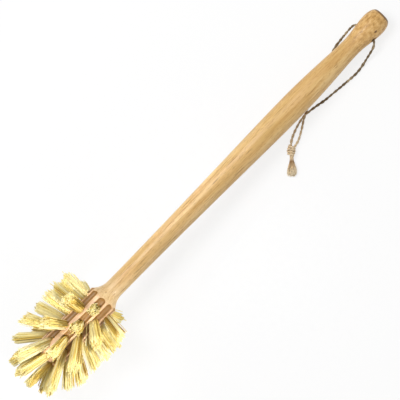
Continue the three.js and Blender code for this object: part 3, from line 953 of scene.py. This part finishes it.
# %% [markdown]
# ## Grain, shared by all the finishes
#
# Wood, bristle and jute are all plant fibre and show fine streaks along their length, and drawn wire shows
# them too. The streaks are a noise that is stretched along one direction, so they go into one node group
# that each material places with its own scale and stretch. The group only puts out a number that changes
# over the surface.

# %% Node group for lengthwise grain
def plug(tree, value, socket):
    """Joins an output to a socket, or sets the socket to a fixed value."""
    if isinstance(value, bpy.types.NodeSocket):
        tree.links.new(value, socket)
    else:
        socket.default_value = value


grain_group = bpy.data.node_groups.new("lengthwise_grain", "ShaderNodeTree")
grain_group.interface.new_socket("Place", in_out="INPUT", socket_type="NodeSocketVector")
grain_group.interface.new_socket("Streaks per Metre", in_out="INPUT", socket_type="NodeSocketFloat")
grain_group.interface.new_socket("Stretch", in_out="INPUT", socket_type="NodeSocketFloat")
grain_group.interface.new_socket("Grain", in_out="OUTPUT", socket_type="NodeSocketFloat")
inside = grain_group.nodes
inlet = inside.new("NodeGroupInput")
outlet = inside.new("NodeGroupOutput")
shorten = inside.new("ShaderNodeMath")
shorten.operation = "DIVIDE"
shorten.inputs[0].default_value = 1
squeeze = inside.new("ShaderNodeCombineXYZ")
squeeze.inputs["Y"].default_value = 1
squeeze.inputs["Z"].default_value = 1
stretched = inside.new("ShaderNodeVectorMath")
stretched.operation = "MULTIPLY"
noise = inside.new("ShaderNodeTexNoise")
noise.inputs["Detail"].default_value = 5
noise.inputs["Roughness"].default_value = 0.6
clear = inside.new("ShaderNodeMapRange")
clear.inputs["From Min"].default_value = 0.3
clear.inputs["From Max"].default_value = 0.7
plug(grain_group, inlet.outputs["Stretch"], shorten.inputs[1])
plug(grain_group, shorten.outputs["Value"], squeeze.inputs["X"])
plug(grain_group, inlet.outputs["Place"], stretched.inputs[0])
plug(grain_group, squeeze.outputs["Vector"], stretched.inputs[1])
plug(grain_group, stretched.outputs["Vector"], noise.inputs["Vector"])
plug(grain_group, inlet.outputs["Streaks per Metre"], noise.inputs["Scale"])
plug(grain_group, noise.outputs["Fac"], clear.inputs["Value"])
plug(grain_group, clear.outputs["Result"], outlet.inputs["Grain"])
print("group", grain_group.name, "has", len(inside), "nodes")

# %% [markdown]
# ## Oiled wood
#
# The handle is a pale, fine-grained hardwood, sanded and oiled to a soft gloss. It is one Principled shader,
# and its colour is built up in layers over the next cells. The grain needs a place along the handle's own
# axis, so the material reads the attribute kept above, with x as the station.

# %% Start the oiled wood
def new_finish(name, roughness):
    """A new material, its node tree and its Principled shader."""
    finish = bpy.data.materials.new(name)
    finish.use_nodes = True
    shader = finish.node_tree.nodes["Principled BSDF"]
    shader.inputs["Roughness"].default_value = roughness
    return finish, finish.node_tree, shader


def from_mesh(tree, label, kind="Fac"):
    """A number that the mesh keeps for each corner, or a vector if kind asks for one."""
    node = tree.nodes.new("ShaderNodeAttribute")
    node.attribute_name = label
    return node.outputs[kind]


oiled_wood, tree, shader = new_finish("oiled_wood", 0.36)
shader.inputs["Specular IOR Level"].default_value = 0.4
own_place = from_mesh(tree, "own_place", "Vector")
apart = tree.nodes.new("ShaderNodeSeparateXYZ")
plug(tree, own_place, apart.inputs["Vector"])
station = apart.outputs["X"]
print("finish", oiled_wood.name, "starts with", len(tree.nodes), "nodes")

# %% [markdown]
# ## Colour of the wood
#
# Broad streaks follow the wood's length, olive in places and pinkish in others. The shaft is a little paler
# than the grip. On the collar a paler, greyer tone is a painted highlight, standing in for the broad gloss on
# its flare. Finer brown streaks, thin dark lines and short dashes lie over them. Every layer mixes one colour
# in where a grain or a station lies in some range.

# %% Streaks of the wood
def grain(tree, place, streaks, stretch):
    """The shared grain, with so many streaks to a metre, each so many times as long as wide."""
    node = tree.nodes.new("ShaderNodeGroup")
    node.node_tree = grain_group
    node.inputs["Streaks per Metre"].default_value = streaks
    node.inputs["Stretch"].default_value = stretch
    plug(tree, place, node.inputs["Place"])
    return node.outputs["Grain"]


def srgb(red, green, blue):
    """A colour as it shows on a screen, 0 to 255, as the linear values that shaders take."""
    shares = [channel / 255 for channel in (red, green, blue)]
    return (*[c / 12.92 if c < 0.04045 else ((c + 0.055) / 1.055)**2.4 for c in shares], 1)


def ramp(tree, value, stops):
    """A colour that depends on a number, with a colour at each stop."""
    node = tree.nodes.new("ShaderNodeValToRGB")
    elements = node.color_ramp.elements
    while len(elements) < len(stops):
        elements.new(0.5)
    for element, (position, colour) in zip(elements, stops):
        element.position = position
        element.color = colour
    plug(tree, value, node.inputs["Fac"])
    return node.outputs["Color"]


def between(tree, value, low, high, to_low=0.0, to_high=1.0):
    """A number that goes from one value to another while the input goes from low to high."""
    node = tree.nodes.new("ShaderNodeMapRange")
    node.interpolation_type = "SMOOTHSTEP"
    for label, number in (("From Min", low), ("From Max", high), ("To Min", to_low), ("To Max", to_high)):
        node.inputs[label].default_value = number
    plug(tree, value, node.inputs["Value"])
    return node.outputs["Result"]


def blend(tree, share, first, second):
    """Mixes two colours. The node also mixes other kinds, so its colour sockets are 6, 7 and output 2."""
    node = tree.nodes.new("ShaderNodeMix")
    node.data_type = "RGBA"
    for number, value in ((0, share), (6, first), (7, second)):
        plug(tree, value, node.inputs[number])
    return node.outputs[2]


broad = grain(tree, own_place, 190, 30)
clouds = grain(tree, own_place, 120, 4)
fine = grain(tree, own_place, 620, 24)
lines = grain(tree, own_place, 1000, 22)
dashes = grain(tree, own_place, 1500, 6)
shaft = between(tree, station, 250 * MM, 50 * MM, 0.05, 0.12)
collar = between(tree, station, 32 * MM, 8 * MM, 0, 0.45)
colour = ramp(tree, broad, [
    (0.1, srgb(204, 159, 92)), (0.5, srgb(222, 182, 117)), (0.9, srgb(234, 199, 139)),
])
colour = blend(tree, between(tree, clouds, 0.45, 0, 0, 0.4), colour, srgb(203, 165, 92))
colour = blend(tree, between(tree, clouds, 0.55, 1, 0, 0.4), colour, srgb(236, 192, 140))
colour = blend(tree, shaft, colour, srgb(226, 202, 158))
# painted highlight: the collar's flare gets a paler, greyer tone in place of its broad gloss
colour = blend(tree, collar, colour, srgb(204, 186, 152))
colour = blend(tree, between(tree, fine, 0.5, 0.1, 0, 0.55), colour, srgb(188, 140, 72))
colour = blend(tree, between(tree, lines, 0.68, 0.95, 0, 0.7), colour, srgb(146, 102, 46))
colour = blend(tree, between(tree, dashes, 0.58, 0.92, 0, 0.5), colour, srgb(162, 116, 58))
print("nodes so far:", len(tree.nodes))

# %% [markdown]
# ## Knob and butt
#
# On the knob the grain runs out, so the wood is cloudy there and a little darker, with one small dark flaw.
# The butt's end is painted dark: partly its end grain, which has drunk more oil, and partly painted shade on
# the rim that turns away from the light. The flaw is a short spindle: its distance from a middle, counted in
# its own length and width, says where it is.

# %% Knob, flaw, end grain and painted rim shade
def product(tree, first, second):
    """Two numbers multiplied; each may be an output or a fixed value."""
    node = tree.nodes.new("ShaderNodeMath")
    node.operation = "MULTIPLY"
    for socket, value in zip(node.inputs, (first, second)):
        plug(tree, value, socket)
    return node.outputs["Value"]


def away_from(tree, place, middle, reach):
    """How far a place is from a middle, counted in the given reach along each axis."""
    shift = tree.nodes.new("ShaderNodeVectorMath")
    shift.operation = "SUBTRACT"
    shift.inputs[1].default_value = middle
    scale = tree.nodes.new("ShaderNodeVectorMath")
    scale.operation = "DIVIDE"
    scale.inputs[1].default_value = reach
    size = tree.nodes.new("ShaderNodeVectorMath")
    size.operation = "LENGTH"
    plug(tree, place, shift.inputs[0])
    plug(tree, shift.outputs["Vector"], scale.inputs[0])
    plug(tree, scale.outputs["Vector"], size.inputs[0])
    return size.outputs["Value"]


FLAW_PLACE = (0.289, -0.0072, 0.0064)
FLAW_REACH = (0.0014, 0.0009, 0.0009)
curls = grain(tree, own_place, 420, 1.5)
cloudy = ramp(tree, curls, [
    (0.15, srgb(160, 114, 50)), (0.5, srgb(204, 156, 86)), (0.85, srgb(232, 190, 126)),
])
on_knob = between(tree, station, 255 * MM, 285 * MM)
flaw = away_from(tree, own_place, FLAW_PLACE, FLAW_REACH)
end_grain_and_rim_shade = between(tree, station, 300.2 * MM, 301.2 * MM, 0, 0.85)
colour = blend(tree, product(tree, on_knob, 0.75), colour, cloudy)
colour = blend(tree, between(tree, flaw, 1.2, 0.6, 0, 0.85), colour, srgb(92, 58, 24))
# the butt's end: end grain darkened by oil, plus painted shade on its rim
colour = blend(tree, end_grain_and_rim_shade, colour, srgb(116, 82, 40))
print("nodes so far:", len(tree.nodes))

# %% [markdown]
# ## Cut wood and gloss
#
# The core is the same wood, freshly cut and pinkish on the ridges. Down in the flutes it is brown, partly the
# cut wood's own colour and partly painted shade between the tufts, and in the holes it is nearly black, which
# is painted shade. The depth that the mesh keeps says which is which. The oil makes the pale streaks a little
# glossier than the dark ones, and the fine streaks are felt as a slight relief.

# %% Cut wood and gloss
def relief(tree, shader, height, strength, distance):
    """Bends the shader's normal as if the surface stood up by this distance where the height is 1."""
    node = tree.nodes.new("ShaderNodeBump")
    node.inputs["Strength"].default_value = strength
    node.inputs["Distance"].default_value = distance
    plug(tree, height, node.inputs["Height"])
    plug(tree, node.outputs["Normal"], shader.inputs["Normal"])


on_core = between(tree, station, 6 * MM, -1 * MM)
how_deep = from_mesh(tree, "cut")
colour = blend(tree, product(tree, on_core, 0.75), colour, srgb(228, 184, 142))
# flutes: brown, partly the cut wood's own colour and partly painted shade
colour = blend(tree, between(tree, how_deep, 0.05, 0.4, 0, 0.95), colour, srgb(144, 103, 44))
# holes: nearly black, painted shade
colour = blend(tree, between(tree, how_deep, 1.05, 1.5, 0, 0.9), colour, srgb(62, 38, 16))
plug(tree, colour, shader.inputs["Base Color"])
plug(tree, between(tree, fine, 0, 1, 0.42, 0.28), shader.inputs["Roughness"])
relief(tree, shader, fine, 0.12, 0.1 * MM)
bored.materials.clear()
bored.materials.append(oiled_wood)
print("oiled wood nodes:", len(tree.nodes))

# %% [markdown]
# ## Plant fibre
#
# The bristles are raw plant fibre, straw yellow, each lock a little lighter or darker than the next. Near the
# roots they are browner, partly from dust that stays deep in the head and partly as painted shade, and their
# cut ends are pale. A hair shader is meant for hair curves, and these are meshes, so a Principled shader with
# almost no gloss does it. The tone and the place along the fibre come from the mesh.

# %% Plant fibre
plant_fibre, tree, shader = new_finish("plant_fibre", 0.6)
shader.inputs["Specular IOR Level"].default_value = 0.05
tone = from_mesh(tree, "tone")
reach = from_mesh(tree, "reach")
own_place = tree.nodes.new("ShaderNodeTexCoord").outputs["Object"]
mottled = grain(tree, own_place, 400, 1)
colour = ramp(tree, tone, [
    (0.06, srgb(154, 114, 42)), (0.26, srgb(225, 194, 98)),
    (0.44, srgb(247, 229, 147)), (0.9, srgb(253, 245, 202)),
])
colour = blend(tree, between(tree, mottled, 0.4, 0, 0, 0.35), colour, srgb(214, 186, 96))
# near the roots: browner, partly dust and partly painted shade deep in the head
colour = blend(tree, between(tree, reach, 0.4, 0.02, 0, 0.6), colour, srgb(188, 148, 76))
colour = blend(tree, between(tree, reach, 0.95, 1, 0, 0.7), colour, srgb(252, 240, 178))
plug(tree, colour, shader.inputs["Base Color"])
plug(tree, between(tree, tone, 0, 1, 0.7, 0.5), shader.inputs["Roughness"])
for tufts in tuft_pieces:
    tufts.data.materials.append(plant_fibre)
print("plant fibre nodes:", len(tree.nodes))

# %% [markdown]
# ## Jute twine
#
# The twine is dark and greasy where it rubs in the hole and gets paler towards the knot. The tails start
# brown, where they leave the knot, and their frayed ends are the palest. The fibres show as fine mottling,
# and the twine has no gloss. An image of twine would smear in the knot, so the colour comes from the numbers
# that the threads keep. A ramp only takes numbers up to 1, and the reach of the tails goes on to 1.4, so the
# reach is scaled down first.

# %% Jute twine
jute_twine, tree, shader = new_finish("jute_twine", 0.85)
tone = from_mesh(tree, "tone")
reach = from_mesh(tree, "reach")
own_place = tree.nodes.new("ShaderNodeTexCoord").outputs["Object"]
mottled = grain(tree, own_place, 1300, 3)
patches = grain(tree, own_place, 140, 1)
colour = ramp(tree, product(tree, reach, 0.7), [
    (0.07, srgb(112, 94, 66)), (0.42, srgb(122, 100, 70)),
    (0.49, srgb(190, 162, 126)), (0.64, srgb(226, 204, 168)),
    (0.71, srgb(232, 210, 178)), (0.77, srgb(150, 110, 66)),
    (0.84, srgb(226, 196, 152)), (0.94, srgb(254, 238, 206)),
])
colour = blend(tree, between(tree, patches, 0.45, 0.9, 0, 0.6), colour, srgb(212, 190, 152))
colour = blend(tree, between(tree, mottled, 0.4, 0.05, 0, 0.4), colour, srgb(84, 66, 42))
colour = blend(tree, between(tree, tone, 0.5, 1, 0, 0.35), colour, srgb(238, 218, 184))
plug(tree, colour, shader.inputs["Base Color"])
relief(tree, shader, mottled, 0.5, 0.15 * MM)
for piece in loop_pieces:
    piece.data.materials.append(jute_twine)
print("jute twine nodes:", len(tree.nodes))

# %% [markdown]
# ## Staple wire
#
# A flat wire staple holds each tuft at the bottom of its hole. The CAD staples stay as they are and only get
# a finish: drawn steel wire, streaked along its length. They are almost hidden, so nothing finer is needed.

# %% Staple wire
staple_wire, tree, shader = new_finish("staple_wire", 0.4)
shader.inputs["Metallic"].default_value = 1
own_place = tree.nodes.new("ShaderNodeTexCoord").outputs["Object"]
drawn = grain(tree, own_place, 4000, 6)
colour = ramp(tree, drawn, [(0.2, srgb(150, 152, 154)), (0.8, srgb(196, 198, 200))])
plug(tree, colour, shader.inputs["Base Color"])
plug(tree, between(tree, drawn, 0, 1, 0.5, 0.3), shader.inputs["Roughness"])
staples = [node for name, node in frame["nodes"].items() if name.startswith("staple_")]
for staple in staples:
    staple.data.materials.clear()
    staple.data.materials.append(staple_wire)
print("staples:", len(staples))

# %% [markdown]
# ## Floor
#
# The photograph has a plain white ground. The floor is a large sheet of matt white that keeps the brush's
# soft shadow. Seen by the camera, and in reflections, part of it glows with a strength of 1, which is white
# and lights nothing else.

# %% Floor
FLOOR_SIZE = 4.0
FLOOR_WHITE = (0.9, 0.9, 0.9, 1)
SHADOW_KEPT = 0.2


def seen(tree):
    """1 for rays that show the ground to the camera, straight or in a reflection or through glass."""
    path = tree.nodes.new("ShaderNodeLightPath")
    total = path.outputs["Is Camera Ray"]
    for kind in ("Is Glossy Ray", "Is Transmission Ray"):
        node = tree.nodes.new("ShaderNodeMath")
        node.operation = "MAXIMUM"
        plug(tree, total, node.inputs[0])
        plug(tree, path.outputs[kind], node.inputs[1])
        total = node.outputs["Value"]
    return total


half = FLOOR_SIZE / 2
floor_corners = [(-half, -half, 0), (half, -half, 0), (half, half, 0), (-half, half, 0)]
floor_mesh = bpy.data.meshes.new("floor")
floor_mesh.from_pydata(floor_corners, [], [(0, 1, 2, 3)])
floor = bpy.data.objects.new("floor", floor_mesh)
bpy.context.scene.collection.objects.link(floor)
white_floor, tree, shader = new_finish("white_floor", 0.9)
shader.inputs["Base Color"].default_value = FLOOR_WHITE
shader.inputs["Specular IOR Level"].default_value = 0
glow = tree.nodes.new("ShaderNodeEmission")
mixed = tree.nodes.new("ShaderNodeMixShader")
plug(tree, product(tree, seen(tree), 1 - SHADOW_KEPT), mixed.inputs["Fac"])
plug(tree, shader.outputs["BSDF"], mixed.inputs[1])
plug(tree, glow.outputs["Emission"], mixed.inputs[2])
plug(tree, mixed.outputs["Shader"], tree.nodes["Material Output"].inputs["Surface"])
floor_mesh.materials.append(white_floor)
print("floor is", FLOOR_SIZE, "m wide")

# %% [markdown]
# ## Lamps
#
# Three soft lamps light the brush, because each has one task and can be aimed by itself. A broad one stands
# high on the left of the handle. A small one, lower down on the same side, has a narrow beam that only meets
# the shaft and gives it the bright streak of the photograph. Another small one lights the right-hand tufts,
# which would stand in the shadow of the others.

# %% Lamps
HEAD_MIDDLE = BRUSH @ Vector((-52 * MM, 0, 0))
SHAFT_MIDDLE = BRUSH @ Vector((100 * MM, 0, 0))


def soft_lamp(name, power, size, aim, away, beam):
    """A round softbox, so far away from what it is turned towards, with a beam so many degrees wide."""
    lamp = bpy.data.objects.new(name, bpy.data.lights.new(name, "AREA"))
    lamp.data.shape = "DISK"
    lamp.data.size = size
    lamp.data.energy = power
    lamp.data.spread = math.radians(beam)
    lamp.location = aim + Vector(away)
    lamp.rotation_euler = Vector(away).to_track_quat("Z", "Y").to_euler()
    bpy.context.scene.collection.objects.link(lamp)
    print(name, power, "W")


soft_lamp("softbox", power=6.0, size=0.55, aim=VIEW_TARGET, away=(-0.08, 0.34, 0.92), beam=180)
soft_lamp("shaft_softbox", power=0.005, size=0.1, aim=SHAFT_MIDDLE, away=(-0.06, 0.74, 0.67), beam=8)
soft_lamp("head_softbox", power=0.04, size=0.12, aim=HEAD_MIDDLE, away=(0.12, -0.42, 0.28), beam=11)

# %% [markdown]
# ## Surroundings
#
# White surroundings fill in the rest, so no shadow is black. The camera sees them as plain white, like the
# floor. Lamps and surroundings together are at a plain level: a pale surface facing up renders about as its
# colour is written.

# %% Surroundings
FILL = 0.55

surroundings = bpy.data.worlds.new("studio")
surroundings.use_nodes = True
tree = surroundings.node_tree
sky = tree.nodes["Background"]
sky.inputs["Color"].default_value = (1, 1, 1, 1)
plug(tree, between(tree, seen(tree), 0, 1, FILL, 1), sky.inputs["Strength"])
bpy.context.scene.world = surroundings
bpy.context.scene.view_settings.view_transform = "Standard"
print("fill", FILL)

# %% [markdown]
# ## Finish
#
# The dressed brush is meant to be as big as the CAD model, apart from the loose ends of its fibres. The last
# step only brings the scene up to date.

# %% Finish
bpy.context.view_layer.update()
